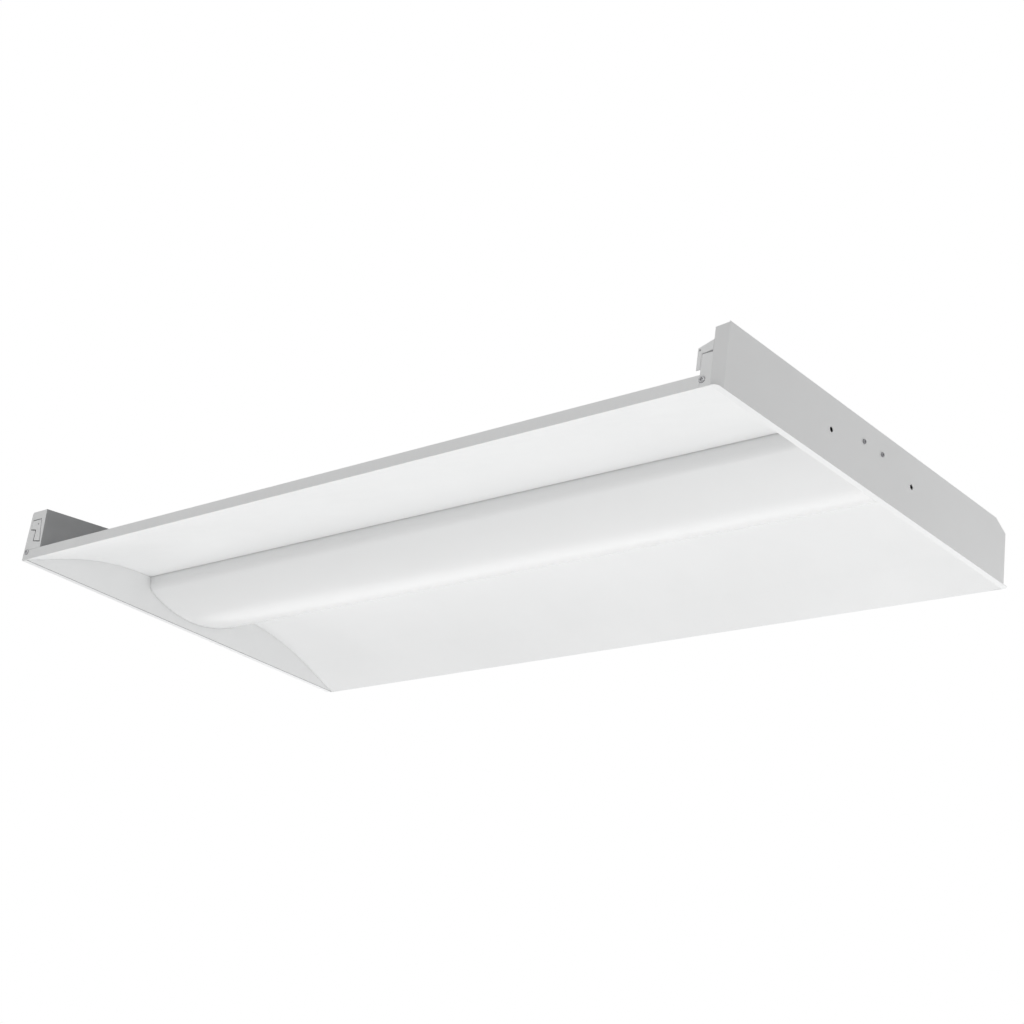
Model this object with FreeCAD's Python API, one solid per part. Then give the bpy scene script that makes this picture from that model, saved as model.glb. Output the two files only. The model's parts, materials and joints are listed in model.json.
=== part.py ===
import FreeCAD, Part

import math
import os

V = FreeCAD.Vector

# Recessed troffer light, millimetres. X runs along the light, Y from the near long side to
# the far one, Z up. The origin is the centre of the rim plane, which rests on the ceiling grid.

# ---------------------------------------------------------------- driving dimensions
# overall
LENGTH = 1213.0            # outer faces of the end plates
WIDTH = 603.0              # outer faces of the side strips
HEIGHT = 79.0              # rim plane to the top of the end plates
SHEET = 0.8                # body sheet steel
SEAT = 0.1                 # gap between two sheets that lie on each other
EDGE_GAP = 0.3             # gap at the edge of a butting sheet
SCREW_GAP = 0.3            # radial room round a screw in its hole
OVERCUT = 1.0              # how far a cut runs past the face that it opens
HOLE_REACH = 3.0           # how far a screw's hole runs each way from its seat

# reflector wings
STRIP_HEIGHT = 15.0        # upturned strip along each long side
VALLEY_Y = 89.0            # inner edge of a wing
VALLEY_Z = 54.0
WING_STRAIGHT = 70.6       # flat run of the wing at its rim; the rest curves up to the valley
LEDGE_Z = 61.0             # ledge of the wing that carries the tray
LEDGE_WIDTH = 12.0

# end plates
RIM_BAND = 8.0             # white band under each end
RIM_CORNER_RADIUS = 6.0
FACET_X = 8.5              # corner facet, along X
FACET_Y = 12.5             # corner facet, along Y
FACET_DROP_HIGH = 1.0      # fall of the top edge at the web's end
FACET_DROP_LOW = 11.5      # fall of the top edge at the facet's end
CROP_LENGTH = 24.0         # cropped top corner of the web
CROP_DROP = 12.0
CROP_FACET_DROP = 3.0      # further fall of the cropped corner across its facet
TOP_FLANGE = 14.0          # inward flange along the top
PANEL_LENGTH = 13.6        # corner panel behind each facet
PANEL_HEIGHT = 39.0
PLATE_CENTRE_Y = -11.0     # middle of the pattern of holes in the web
PLATE_SCREW_SPACING = 37.8
PLATE_SCREW_Z = 53.0
PLATE_HOLE_SPACING = 166.6
PLATE_HOLE_Z = 39.8
PLATE_HOLE_RADIUS = 3.2
HANGER_HOLE_RADIUS = 3.25
HANGER_HOLE_INSET_X = 7.5  # from the outer face of the end plate
HANGER_HOLE_INSET_Y = 51.5

# boxed corner at the left end of the near side
BOX_HEIGHT = 74.0
BOX_LENGTH_TOP = 33.3      # width of the box's near face at its top
BOX_LENGTH_BOTTOM = 37.6
BOX_CHAMFER = 2.5
BOX_WALL_ANGLE = 17.1      # inner wall, in plan, from the Y direction
BOX_WALL_GAP = 3.5         # between the inner wall and the back housing's flange
WALL_OVER_WING = 0.5       # inner wall above the back of the wing
BOX_LUG_RISE = 8.0         # lug above the top of the side strip

# inner end walls
FOOT_INSET = 25.0          # end of the foot, from the outer face of the side strip

# grid clips: hooks in the plane of the side, u from the fold line towards the middle
CLIP_LEG_BOTTOM = 21.3
CLIP_LEG_INNER = 15.0
CLIP_REACH = 20.0
CLIP_ELBOW_Z = 47.0
CLIP_BAND_INNER_Z = 39.9
CLIP_ROOT_LOW = 41.6
CLIP_ROOT_HIGH = 53.5
CLIP_HOLE_RADIUS = 1.3
CLIP_HOLE_SHIFT = 1.0      # of a clip's hole, from the middle of its elbow
CLIP_BACK_TOP = 46.0       # top of the side strip's tongue behind a clip
CLIP_BACK_DEPTH = 6.0      # of the tongue's head behind the elbow
BOX_CLIP_FOLD = 4.5        # fold line of the boxed corner's clip, from the end face
BOX_CLIP_ROOT_LOW = 47.3
BOX_CLIP_ROOT_HIGH = 60.0
BOX_CLIP_LEG_U = 13.0
BOX_CLIP_LEG_TOP = 45.0
BOX_CLIP_LEG_BOTTOM = 28.5
BOX_CLIP_REACH_TOP = 19.3
BOX_CLIP_REACH_BOTTOM = 27.3
BOX_CLIP_TOE_Z = 26.0
BOX_CLIP_SLOT = 1.5        # width of the slot cut round the clip, up to its fold line
BOX_CLIP_HOLE_RADIUS = 1.5

# light-engine tray
TRAY_EDGE_INSET = 0.5      # from the end of a wing's ledge
BRACKET_DEPTH = 15.0       # upright leg of the bracket under each end of the tray
BRACKET_WIDTH = 78.0
TRAY_SCREW_END_INSET = 60.5
TRAY_SCREW_INSET = 6.6     # from the valley's edge
TRAY_SCREWS_PER_HALF = 2   # along a ledge, besides the middle one
GROMMET_FROM_DRIVER = 60.0
GROMMET_Y = 68.0
GROMMET_HOLE_RADIUS = 5.6
GROMMET_BORE_RADIUS = 3.6
GROMMET_LIP = 1.6          # how far a grommet's lip covers the tray
GROMMET_LIP_THICKNESS = 1.2

# back housing
HOUSING_TOP = 75.0
HOUSING_SIDE_RUN = 25.0    # how far out the sloped side leans
HOUSING_FLANGE_WIDTH = 18.0
HOUSING_END_GAP = 0.5
STANDOFF_END_INSET = 46.5
STANDOFF_INNER_X = 200.0
STANDOFF_Y = 80.0
STANDOFF_RADIUS = 4.0      # over the flats of the hexagon
STANDOFF_SHANK_RADIUS = 2.6
STANDOFF_BORE = 7.0        # depth of the screw's bore
ACCESS_FROM_END = 136.5    # middle of the access opening
ACCESS_LENGTH = 92.0
ACCESS_WIDTH = 52.0
COVER_LENGTH = 124.0
COVER_WIDTH = 84.0
COVER_SCREW_INSET_X = 10.0
COVER_SCREW_INSET_Y = 9.0
COVER_CORNER_RADIUS = 4.5
LOCK_SLOT_LENGTH = 27.0    # from the lock screw to the open end of its slot
KNOCKOUT_RADIUS = 11.1     # opening for a 1/2 inch conduit connector
KNOCKOUT_SPACING = 46.0
SLUG_GAP = 0.25
SLUG_BRIDGE = 1.2

# LED boards
BOARD_END_GAP = 13.7       # between a board and the inner end wall
BOARD_WIDTH = 24.0
BOARD_THICKNESS = 1.2
BOARD_SPLIT = 12.0         # gap between two boards of a row
ROW_Y = 42.0
LED_LENGTH = 3.5
LED_WIDTH = 2.8
LED_THICKNESS = 0.7
LEDS_PER_BOARD = 24
LED_SHIFT = 3.6            # line of the LEDs, from the middle of a board
BOARD_SCREWS = 3
BOARD_SCREW_SHIFT = 7.2    # line of the board screws, from the middle of a board
CONNECTOR_BLOCK = (10.0, 7.0, 4.5)   # plug-in connector on a board: length, width, height
LINK_LENGTH = 30.0
JUMPER_INSET = 9.0

# diffuser
LENS_THICKNESS = 2.0
LENS_BOTTOM_Z = 13.0
LENS_RADIUS = 170.0
LENS_CORNER_RADIUS = 12.0
LENS_HALF_TOP = 88.0
LENS_TOP = 57.0
LENS_LEAN = 6.0            # lean of the side from upright, degrees
LENS_LIP = 12.0
LENS_END_GAP = 0.6
CAP_THICKNESS = 2.0
CAP_GAP = 0.15
CAP_TOP_GAP = 2.5
HINGE_Y = 80.0
HINGE_Z = 47.0
HINGE_PIN_RADIUS = 2.0
HINGE_RUN = 0.08           # radial running clearance
HINGE_HEAD_RADIUS = 2.8
HINGE_HEAD_LENGTH = 1.9
CATCH_FROM_END = 226.5
CATCH_WIDTH = 14.0
CATCH_THICKNESS = 0.4
CATCH_DEPTH = 9.0
CATCH_FOOT = 10.0
CATCH_GAP = 0.4
CATCH_TURN = 2.0           # turned tip of a catch

# driver, hung under the housing
DRIVER_FROM_ACCESS = 310.0
DRIVER_TRAY_GAP = 3.5      # between the driver and the edge of the tray
DRIVER_SIDE_GAP = 6.0      # between the driver and the edge of the housing's top
DRIVER_LENGTH = 280.0
DRIVER_WIDTH = 30.0
DRIVER_HEIGHT = 18.0
DRIVER_TAB = 13.0
DRIVER_BOARD_DROP = 3.0    # board below the base plate
TERMINAL_LENGTH = 14.0
TERMINAL_WIDTH = 20.0
TERMINAL_HEIGHT = 9.0
TERMINAL_REACH = 1.0       # how far a terminal block stands out of the case
STANDOFF_INSET_X = 8.0
STANDOFF_INSET_Y = 6.0
DRIVER_STANDOFF_RADIUS = 2.5
COMPONENT_GAP = 1.0        # between the tallest component and the case
TRANSFORMER = (24.0, 20.0)
CHOKE = (18.0, 16.0)
CHOKE_X = -53.0
CAPACITOR_RADIUS = 7.0
CAPACITOR_PLACES = (40.0, 70.0)
PORT_RADIUS = 1.25
PORT_DEPTH = 5.0
PORT_SPACING = 5.0

# quick disconnect
CONNECTOR_Y = -6.0
CONNECTOR_LENGTH = 24.0
CONNECTOR_WIDTH = 20.0
CONNECTOR_HEIGHT = 9.0
PLUG_LENGTH = 22.0
PLUG_TONGUE = 6.0
PLUG_GAP = 0.3
CONNECTOR_WALL = 1.6
SOCKET_FROM_OPENING = 4.0  # mouth of the fixed half, from the middle of the opening
GROUND_AWAY_X = 42.0       # ground screw, from the back of the fixed half
GROUND_AWAY_Y = 14.0
LUG_RADIUS = 4.5
LUG_THICKNESS = 0.8
LUG_LENGTH = 14.0
LUG_BARREL_RADIUS = 1.6
LUG_BARREL_LENGTH = 5.0

# wires
WIRE_RADIUS = 1.1
WIRE_SPACING = 3.0
LEAD_RADIUS = 0.8
LEAD_SPACING = 2.4
JUMPER_RADIUS = 1.0

# screws: head radius, head height, shank radius, length under the head
CORNER_SCREW = (4.0, 1.6, 1.9, 6.0)
PLATE_SCREW = (2.9, 1.6, 1.6, 6.0)
SMALL_SCREW = (3.2, 1.5, 1.6, 4.0)
BOARD_SCREW = (2.6, 1.4, 1.3, 3.2)
COVER_SCREW = (4.2, 1.7, 2.0, 5.0)
CORNER_SCREW_INSET_X = 19.2
CORNER_SCREW_Z = 8.9
BOX_SCREW_INSET_X = 7.5
BOX_SCREW_Z = 12.0
SCREW_ROUND = 0.6          # round of a head's rim, as a share of its height
RECESS_DEPTH = 0.5         # cross recess, as a share of the head's height
RECESS_REACH = 0.55        # and as shares of the head's radius
RECESS_HALF_WIDTH = 0.12
BEND_SHARE = 0.45          # share of the shorter run that a wire's bend takes

# ---------------------------------------------------------------- worked-out places
HALF_LENGTH = LENGTH / 2
HALF_WIDTH = WIDTH / 2
FACET_END_X = HALF_LENGTH - FACET_X
FACET_START_Y = HALF_WIDTH - FACET_Y
WALL_OUTER_X = HALF_LENGTH - RIM_BAND          # outer face of an inner end wall
WALL_INNER_X = WALL_OUTER_X - SHEET
WING_END_X = WALL_INNER_X - EDGE_GAP
PANEL_END_X = FACET_END_X - PANEL_LENGTH
SIDE_INNER_Y = HALF_WIDTH - SHEET              # inner face of a side strip
LUG_OUTER_Y = SIDE_INNER_Y - SEAT
LUG_INNER_Y = LUG_OUTER_Y - SHEET
FACET_LENGTH = math.hypot(FACET_X, FACET_Y)
FACET_INNER_Y = HALF_WIDTH - SHEET * FACET_LENGTH / FACET_X
FACET_INNER_X = HALF_LENGTH - SHEET * FACET_LENGTH / FACET_Y
WALL_HALF_WIDTH = FACET_INNER_Y - (WALL_OUTER_X - FACET_END_X) * FACET_Y / FACET_X - EDGE_GAP

WING_REACH = HALF_WIDTH - VALLEY_Y
WING_SLOPE = 2 * math.atan(VALLEY_Z / (WING_REACH + WING_STRAIGHT))
VALLEY_RADIUS = (WING_REACH - WING_STRAIGHT * math.cos(WING_SLOPE)) / math.sin(WING_SLOPE)
CURVE_Z = VALLEY_Z - VALLEY_RADIUS             # centre of the wing's curve is at VALLEY_Y, CURVE_Z

TRAY_HALF_WIDTH = VALLEY_Y + LEDGE_WIDTH - TRAY_EDGE_INSET
DRIVER_Y = TRAY_HALF_WIDTH + DRIVER_TRAY_GAP + DRIVER_WIDTH / 2
HOUSING_HALF_TOP = DRIVER_Y + DRIVER_WIDTH / 2 + DRIVER_SIDE_GAP
HOUSING_FOOT_Y = HOUSING_HALF_TOP + HOUSING_SIDE_RUN   # where the sloped side meets its flange
TRAY_BOTTOM = LEDGE_Z + SEAT
TRAY_TOP = TRAY_BOTTOM + SHEET
TRAY_END_X = HALF_LENGTH - SHEET - EDGE_GAP
HOUSING_UNDER = HOUSING_TOP - SHEET
HOUSING_END_X = HALF_LENGTH - SHEET - HOUSING_END_GAP
HOUSING_EDGE_Y = HOUSING_FOOT_Y + HOUSING_FLANGE_WIDTH
BOX_WALL_DEPTH = HALF_WIDTH - HOUSING_EDGE_Y - BOX_WALL_GAP
ACCESS_X = ACCESS_FROM_END - HALF_LENGTH
COVER_Z = HOUSING_TOP + SEAT
COVER_TOP = COVER_Z + SHEET
PIVOT_X = ACCESS_X + COVER_LENGTH / 2 - COVER_SCREW_INSET_X
PIVOT_Y = -COVER_WIDTH / 2 + COVER_SCREW_INSET_Y
LOCK_X = ACCESS_X - COVER_LENGTH / 2 + COVER_SCREW_INSET_X
LOCK_Y = COVER_WIDTH / 2 - COVER_SCREW_INSET_Y

BOARD_TOP = TRAY_BOTTOM - SEAT
BOARD_UNDER = BOARD_TOP - BOARD_THICKNESS
BOARD_INNER_X = BOARD_SPLIT / 2
BOARD_OUTER_X = WALL_INNER_X - BOARD_END_GAP
BOARD_LENGTH = BOARD_OUTER_X - BOARD_INNER_X

CATCH_X = HALF_LENGTH - CATCH_FROM_END
LENS_END_X = WALL_INNER_X - LENS_END_GAP
LENS_CURVE_Z = LENS_BOTTOM_Z + LENS_RADIUS
LEAN = math.radians(LENS_LEAN)

DRIVER_X = ACCESS_X + DRIVER_FROM_ACCESS
GROMMET_X = DRIVER_X + DRIVER_LENGTH / 2 + GROMMET_FROM_DRIVER
DRIVER_TOP = HOUSING_UNDER - SEAT
DRIVER_CASE_TOP = DRIVER_TOP - SHEET - SEAT
DRIVER_BOTTOM = DRIVER_TOP - DRIVER_HEIGHT
DRIVER_BOARD_TOP = DRIVER_CASE_TOP - DRIVER_BOARD_DROP
PORT_Z = DRIVER_BOARD_TOP - BOARD_THICKNESS - TERMINAL_HEIGHT / 2

CONNECTOR_Z = TRAY_TOP + SEAT
SOCKET_X = ACCESS_X + SOCKET_FROM_OPENING


# ---------------------------------------------------------------- helpers
def block(x0, x1, y0, y1, z0, z1):
    low = V(min(x0, x1), min(y0, y1), min(z0, z1))
    return Part.makeBox(abs(x1 - x0), abs(y1 - y0), abs(z1 - z0), low)


def cylinder(radius, start, direction, length):
    return Part.makeCylinder(radius, length, start, direction)


def polygon_prism(points, direction):
    """Solid swept along direction from the flat polygon through the points."""
    face = Part.Face(Part.makePolygon(points + [points[0]]))
    return face.extrude(direction)


def plan_prism(points, z0, z1):
    return polygon_prism([V(x, y, z0) for x, y in points], V(0, 0, z1 - z0))


def side_prism(points, y0, y1):
    """Polygon of (x, z) points, swept along Y."""
    return polygon_prism([V(x, y0, z) for x, z in points], V(0, y1 - y0, 0))


def section_wire(start, steps):
    """Closed wire at x = 0. A step is a (y, z) end point, or the middle and end points of an arc."""
    edges = []
    at = V(0, *start)
    for step in list(steps) + [start]:
        if isinstance(step[0], tuple):
            middle, end = V(0, *step[0]), V(0, *step[1])
            edges.append(Part.Arc(at, middle, end).toShape())
        else:
            end = V(0, *step)
            edges.append(Part.LineSegment(at, end).toShape())
        at = end
    return Part.Wire(edges)


def section_prism(start, steps, x0, x1):
    """Section in the YZ plane, swept along X from x0 to x1."""
    face = Part.Face(section_wire(start, steps))
    face.translate(V(x0, 0, 0))
    return face.extrude(V(x1 - x0, 0, 0))


def mirrored_x(shape):
    return shape.mirror(V(0, 0, 0), V(1, 0, 0))


def mirrored_y(shape):
    return shape.mirror(V(0, 0, 0), V(0, 1, 0))


def joined(shapes):
    return shapes[0].multiFuse(shapes[1:]).removeSplitter()


def save(name, shape):
    shape.exportStep("parts/" + name + ".step")


def save_group(name, solids):
    save(name, Part.makeCompound(solids))


def screw(size, seat, direction):
    """Pan-head screw with a cross recess: seat is under its head, direction points out of the head."""
    head_radius, head_height, shank_radius, length = size
    head = cylinder(head_radius, V(0, 0, 0), V(0, 0, 1), head_height)
    rim = [edge for edge in head.Edges if edge.BoundBox.ZMin > head_height / 2]
    head = head.makeFillet(head_height * SCREW_ROUND, rim)
    reach = head_radius * RECESS_REACH
    half = head_radius * RECESS_HALF_WIDTH
    low = head_height * (1 - RECESS_DEPTH)
    for half_x, half_y in ((reach, half), (half, reach)):
        head = head.cut(block(-half_x, half_x, -half_y, half_y, low, head_height + OVERCUT))
    shank = cylinder(shank_radius, V(0, 0, -length), V(0, 0, 1), length)
    whole = head.fuse(shank).removeSplitter()
    whole.Placement = FreeCAD.Placement(seat, FreeCAD.Rotation(V(0, 0, 1), direction))
    return whole


def screw_hole(size, seat, direction, depth):
    """Clearance hole for a screw, through sheets within depth each way of its seat."""
    radius = size[2] + SCREW_GAP
    start = seat - direction * depth
    return cylinder(radius, start, direction, depth * 2)


def tube(points, radius):
    """Round tube along straight runs joined by tangent arcs, each as large as its runs allow."""
    edges = []
    start = points[0]
    for before, corner, after in zip(points, points[1:], points[2:]):
        incoming = (corner - before).normalize()
        outgoing = (after - corner).normalize()
        half_turn = incoming.getAngle(outgoing) / 2
        shorter = min((corner - before).Length, (after - corner).Length)
        trim = shorter * BEND_SHARE
        bend = trim / math.tan(half_turn)
        begin = corner - incoming * trim
        finish = corner + outgoing * trim
        inward = (outgoing - incoming).normalize()
        middle = corner + inward * (bend / math.cos(half_turn) - bend)
        edges.append(Part.LineSegment(start, begin).toShape())
        edges.append(Part.Arc(begin, middle, finish).toShape())
        start = finish
    edges.append(Part.LineSegment(start, points[-1]).toShape())
    path = Part.Wire(edges)
    ring = Part.Wire(Part.Circle(points[0], points[1] - points[0], radius).toShape())
    return path.makePipeShell([ring], True, False)


# ---------------------------------------------------------------- wings
def curve_point(angle, offset):
    """Point of the wing's curve, offset outwards (up) from its lower face."""
    radius = VALLEY_RADIUS + offset
    return (VALLEY_Y + radius * math.sin(angle), CURVE_Z + radius * math.cos(angle))


def curve_angle(y, offset):
    return math.asin((y - VALLEY_Y) / (VALLEY_RADIUS + offset))


def wing_height(y, offset):
    """Height over y of the surface that lies offset above the wing's lower face."""
    tangent_y, tangent_z = curve_point(WING_SLOPE, offset)
    if y < tangent_y:
        return curve_point(curve_angle(y, offset), offset)[1]
    return tangent_z - (y - tangent_y) * math.tan(WING_SLOPE)


def wing_sheet():
    """Far wing between the inner end walls: strip, curve, upturned inner edge and ledge."""
    turn_y = VALLEY_Y + SHEET
    turn_angle = curve_angle(turn_y, SHEET)
    start = (HALF_WIDTH, STRIP_HEIGHT)
    steps = [
        (HALF_WIDTH, 0.0),
        curve_point(WING_SLOPE, 0),
        (curve_point(WING_SLOPE / 2, 0), (VALLEY_Y, VALLEY_Z)),
        (VALLEY_Y, LEDGE_Z),
        (VALLEY_Y + LEDGE_WIDTH, LEDGE_Z),
        (VALLEY_Y + LEDGE_WIDTH, LEDGE_Z - SHEET),
        (turn_y, LEDGE_Z - SHEET),
        curve_point(turn_angle, SHEET),
        (curve_point((turn_angle + WING_SLOPE) / 2, SHEET), curve_point(WING_SLOPE, SHEET)),
        (SIDE_INNER_Y, wing_height(SIDE_INNER_Y, SHEET)),
        (SIDE_INNER_Y, STRIP_HEIGHT),
    ]
    return section_prism(start, steps, -WING_END_X, WING_END_X)


def corner_room(side_x):
    """Room for the end plate's corner panel at the end of a side strip."""
    low_x = side_x * (PANEL_END_X - EDGE_GAP)
    high_x = side_x * HALF_LENGTH
    return block(low_x, high_x, LUG_OUTER_Y, HALF_WIDTH + OVERCUT, -OVERCUT, STRIP_HEIGHT + OVERCUT)


def corner_lug(side_x):
    """Tongue of the side strip behind the corner panel: takes the corner screw and backs the clip."""
    low = wing_height(LUG_INNER_Y, SHEET) + EDGE_GAP
    high = STRIP_HEIGHT - SHEET
    root = PANEL_END_X - EDGE_GAP
    inner = root - SHEET
    tip = FACET_END_X - 2 * SHEET
    elbow = FACET_END_X - CLIP_REACH + SEAT
    head_low = CLIP_BACK_TOP - CLIP_BACK_DEPTH
    behind = block(side_x * (root - PANEL_LENGTH), side_x * root, LUG_INNER_Y, SIDE_INNER_Y, low, high)
    tongue = block(side_x * inner, side_x * tip, LUG_INNER_Y, LUG_OUTER_Y, low, CLIP_BACK_TOP)
    head = block(side_x * elbow, side_x * tip, LUG_INNER_Y, LUG_OUTER_Y, head_low, CLIP_BACK_TOP)
    return [behind, tongue, head]


def corner_screw_seat(side_x, side_y):
    return V(side_x * (HALF_LENGTH - CORNER_SCREW_INSET_X), side_y * HALF_WIDTH, CORNER_SCREW_Z)


def box_screw_seat():
    return V(-HALF_LENGTH + BOX_SCREW_INSET_X, -HALF_WIDTH, BOX_SCREW_Z)


def ledge_screw_places(side_y):
    y = side_y * (VALLEY_Y + TRAY_SCREW_INSET)
    pitch = (HALF_LENGTH - TRAY_SCREW_END_INSET) / TRAY_SCREWS_PER_HALF
    steps = range(-TRAY_SCREWS_PER_HALF, TRAY_SCREWS_PER_HALF + 1)
    return [V(pitch * k, y, TRAY_TOP + SEAT) for k in steps]


def wing(side_y):
    """Reflector wing of one long side; the near one's strip also runs under the boxed corner."""
    sheet = wing_sheet()
    boxed = side_y < 0
    faceted_ends = (1,) if boxed else (-1, 1)
    for side_x in faceted_ends:
        sheet = sheet.cut(corner_room(side_x))
    pieces = [sheet]
    for side_x in faceted_ends:
        pieces += corner_lug(side_x)
    if boxed:
        strip_end = -(HALF_LENGTH - SHEET - EDGE_GAP)
        root = -WING_END_X + SHEET
        pieces.append(block(strip_end, root, SIDE_INNER_Y, HALF_WIDTH, 0, STRIP_HEIGHT))
    body = joined(pieces)
    if boxed:
        body = mirrored_y(body)
        body = body.cut(screw_hole(CORNER_SCREW, box_screw_seat(), V(0, 1, 0), HOLE_REACH))
    for side_x in faceted_ends:
        seat = corner_screw_seat(side_x, side_y)
        body = body.cut(screw_hole(CORNER_SCREW, seat, V(0, 1, 0), HOLE_REACH))
    for place in ledge_screw_places(side_y):
        body = body.cut(screw_hole(SMALL_SCREW, place, V(0, 0, 1), HOLE_REACH))
    return body


# ---------------------------------------------------------------- end plates
def facet(side_y, high_drop, low_drop):
    """Slanted corner face of the right end plate, with its falling top edge."""
    plan = [
        (HALF_LENGTH, side_y * FACET_START_Y),
        (FACET_END_X, side_y * HALF_WIDTH),
        (FACET_END_X, side_y * FACET_INNER_Y),
        (FACET_INNER_X, side_y * FACET_START_Y),
    ]
    profile = [
        (HALF_LENGTH, 0),
        (HALF_LENGTH, HEIGHT - high_drop),
        (FACET_END_X, HEIGHT - low_drop),
        (FACET_END_X - OVERCUT, HEIGHT - low_drop),
        (FACET_END_X - OVERCUT, 0),
    ]
    return plan_prism(plan, 0, HEIGHT).common(side_prism(profile, -HALF_WIDTH, HALF_WIDTH))


def faceted_corner(side_y, cropped):
    high_drop = CROP_DROP if cropped else FACET_DROP_HIGH
    low_drop = CROP_DROP + CROP_FACET_DROP if cropped else FACET_DROP_LOW
    panel = block(PANEL_END_X, FACET_END_X, side_y * SIDE_INNER_Y, side_y * HALF_WIDTH, 0, PANEL_HEIGHT)
    return [facet(side_y, high_drop, low_drop), panel]


def box_face_edge(z):
    """Distance from the end face to the slanted inner edge of the boxed corner's near face."""
    share = (z - STRIP_HEIGHT) / (BOX_HEIGHT - STRIP_HEIGHT)
    return BOX_LENGTH_BOTTOM + (BOX_LENGTH_TOP - BOX_LENGTH_BOTTOM) * share


def box_near_face():
    """Near face of the boxed corner, with the window round its grid clip (right-hand frame)."""
    low = STRIP_HEIGHT + EDGE_GAP
    outline = [
        (HALF_LENGTH, low),
        (HALF_LENGTH, BOX_HEIGHT - BOX_CHAMFER),
        (HALF_LENGTH - BOX_CHAMFER, BOX_HEIGHT),
        (HALF_LENGTH - BOX_LENGTH_TOP, BOX_HEIGHT),
        (HALF_LENGTH - box_face_edge(low), low),
    ]
    face = side_prism(outline, -HALF_WIDTH, -SIDE_INNER_Y)
    fold_x = HALF_LENGTH - BOX_CLIP_FOLD
    hook = Part.makePolygon([V(fold_x - u, -HALF_WIDTH, z) for u, z in box_clip_outline()])
    window = Part.Face(hook.makeOffset2D(BOX_CLIP_SLOT, 2)).extrude(V(0, SHEET, 0))
    beyond_fold = block(fold_x, HALF_LENGTH, -HALF_WIDTH, -SIDE_INNER_Y, low, BOX_HEIGHT)
    return face.cut(window.cut(beyond_fold))


def box_inner_wall():
    """Wall of the boxed corner that slants in plan from the near face towards the housing."""
    low = STRIP_HEIGHT + EDGE_GAP
    foot = V(HALF_LENGTH - box_face_edge(low), -HALF_WIDTH, low)
    head = V(HALF_LENGTH - BOX_LENGTH_TOP, -HALF_WIDTH, BOX_HEIGHT)
    angle = math.radians(BOX_WALL_ANGLE)
    along = V(-math.sin(angle), math.cos(angle), 0) * (BOX_WALL_DEPTH / math.cos(angle))
    thickness = along.cross(head - foot).normalize() * SHEET
    wall = polygon_prism([foot, head, head + along, foot + along], thickness)
    return wall.cut(mirrored_y(under_wing_body(SHEET + WALL_OVER_WING)))


def under_wing_body(offset):
    """Everything under the far wing, up to offset above its lower face."""
    outer_y = HALF_WIDTH + OVERCUT
    start = (outer_y, -OVERCUT)
    steps = [
        (outer_y, wing_height(outer_y, offset)),
        curve_point(WING_SLOPE, offset),
        (curve_point(WING_SLOPE / 2, offset), curve_point(0, offset)),
        (VALLEY_Y, -OVERCUT),
    ]
    return section_prism(start, steps, -LENGTH, LENGTH)


def boxed_corner():
    """Square corner with its near face, slanted inner wall and the lug behind the side strip."""
    lug_low = wing_height(LUG_INNER_Y, SHEET) + EDGE_GAP
    lug_high = STRIP_HEIGHT + BOX_LUG_RISE
    lug_inner = HALF_LENGTH - 2 * BOX_SCREW_INSET_X
    lug = block(lug_inner, HALF_LENGTH, -LUG_OUTER_Y, -LUG_INNER_Y, lug_low, lug_high)
    web_end = [
        (-HALF_WIDTH, 0),
        (-FACET_START_Y + SHEET, 0),
        (-FACET_START_Y + SHEET, HEIGHT),
        (-FACET_START_Y, HEIGHT),
        (-HALF_WIDTH, BOX_HEIGHT - BOX_CHAMFER),
    ]
    points = [V(HALF_LENGTH - SHEET, y, z) for y, z in web_end]
    web = polygon_prism(points, V(SHEET, 0, 0))
    return [box_near_face(), box_inner_wall(), lug, web]


def plate_web(far_cropped):
    """Upright web of an end plate, with a cropped far top corner if asked."""
    web = block(HALF_LENGTH - SHEET, HALF_LENGTH, -FACET_START_Y, FACET_START_Y, 0, HEIGHT)
    if far_cropped:
        start = (FACET_START_Y - CROP_LENGTH, HEIGHT)
        steps = [
            (FACET_START_Y, HEIGHT - CROP_DROP),
            (FACET_START_Y + OVERCUT, HEIGHT - CROP_DROP),
            (FACET_START_Y + OVERCUT, HEIGHT + OVERCUT),
            (FACET_START_Y - CROP_LENGTH, HEIGHT + OVERCUT),
        ]
        web = web.cut(section_prism(start, steps, HALF_LENGTH - 2 * SHEET, HALF_LENGTH + OVERCUT))
    return web


def plate_rim(boxed):
    """White band under the end, from the inner end wall out past the facets to rounded corners."""
    near_y = -LUG_INNER_Y if boxed else -HALF_WIDTH
    rim = block(WALL_INNER_X, HALF_LENGTH, near_y, HALF_WIDTH, 0, SHEET)
    rounded = (HALF_WIDTH,) if boxed else (-HALF_WIDTH, HALF_WIDTH)
    corners = [
        edge for edge in rim.Edges
        if edge.BoundBox.XMin > WALL_OUTER_X
        and edge.BoundBox.ZLength > SHEET / 2
        and min(abs(edge.BoundBox.Center.y - y) for y in rounded) < SHEET
    ]
    return rim.makeFillet(RIM_CORNER_RADIUS, corners)


def plate_web_places(spacing, z):
    ys = (PLATE_CENTRE_Y - spacing / 2, PLATE_CENTRE_Y + spacing / 2)
    return [V(HALF_LENGTH, y, z) for y in ys]


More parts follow.
